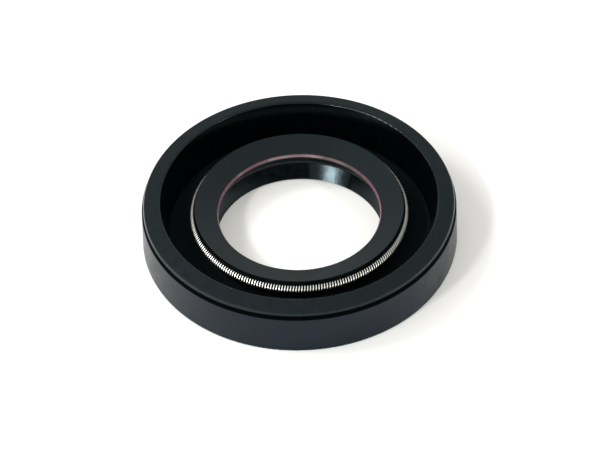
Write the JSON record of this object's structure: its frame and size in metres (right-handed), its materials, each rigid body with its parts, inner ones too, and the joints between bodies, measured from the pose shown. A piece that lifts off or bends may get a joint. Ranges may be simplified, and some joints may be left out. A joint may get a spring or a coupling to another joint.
{
  "type": "radial shaft seal",
  "caption": "Rubber-covered radial shaft seal with a main lip, a dust lip and a garter spring, lying on its air-side face.",
  "frame": {"origin": "centre of the air-side heel face, on the shaft axis", "axes": "+Z along the shaft axis towards the oil side with the garter spring"},
  "size_m": [0.047, 0.047, 0.0083],
  "materials": {
    "black_rubber": "satin moulded nitrile rubber",
    "case_steel": "pressed sheet, bonded",
    "spring_steel": "bright drawn wire",
    "rose_coating": "thin matt coating"
  },
  "bodies": {
    "root": {"rubber_body": "black_rubber", "steel_case": "case_steel", "garter_spring": "spring_steel", "lip_coating": "rose_coating"}
  },
  "joints": []
}
